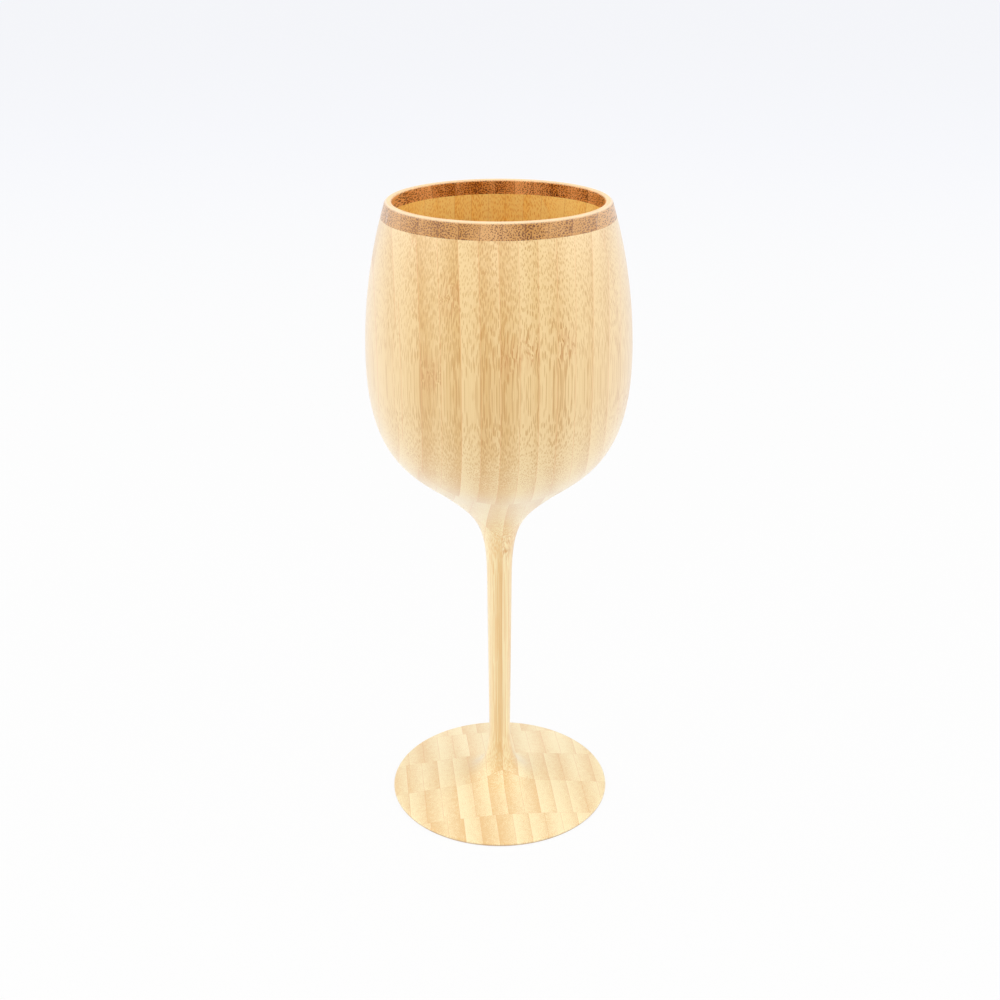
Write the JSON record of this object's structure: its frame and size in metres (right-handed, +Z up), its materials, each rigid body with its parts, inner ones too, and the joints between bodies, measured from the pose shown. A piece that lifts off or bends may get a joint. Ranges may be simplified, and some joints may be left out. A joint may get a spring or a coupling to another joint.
{
  "type": "stemmed bamboo goblet",
  "caption": "Stemmed goblet turned from a block of glued bamboo boards, with a flat round foot, a slim stem, a tulip-shaped bowl and a darker glued rim ring; it holds a drink.",
  "frame": {"origin": "Middle of the foot's underside, on the surface that the goblet stands on", "axes": "+Z up along the lathe axis through stem and bowl, +Y away from the pictured side, +X to the right of it"},
  "size_m": [0.0802, 0.0802, 0.2],
  "materials": {
    "natural_bamboo": "pale laminated bamboo under a satin lacquer",
    "carbonised_bamboo": "heat-darkened brown bamboo under a satin lacquer"
  },
  "bodies": {
    "root": {"bowl_back_board": "natural_bamboo", "bowl_far_board": "natural_bamboo", "bowl_front_board": "natural_bamboo", "bowl_near_board": "natural_bamboo", "foot_back_board": "natural_bamboo", "foot_far_board": "natural_bamboo", "foot_front_board": "natural_bamboo", "foot_near_board": "natural_bamboo", "rim_strip_01": "carbonised_bamboo", "rim_strip_02": "carbonised_bamboo", "rim_strip_03": "carbonised_bamboo", "rim_strip_04": "carbonised_bamboo", "rim_strip_05": "carbonised_bamboo", "rim_strip_06": "carbonised_bamboo", "rim_strip_07": "carbonised_bamboo", "rim_strip_08": "carbonised_bamboo", "rim_strip_09": "carbonised_bamboo", "rim_strip_10": "carbonised_bamboo", "rim_strip_11": "carbonised_bamboo", "rim_strip_12": "carbonised_bamboo", "stem_left_half": "natural_bamboo", "stem_right_half": "natural_bamboo"}
  },
  "joints": []
}
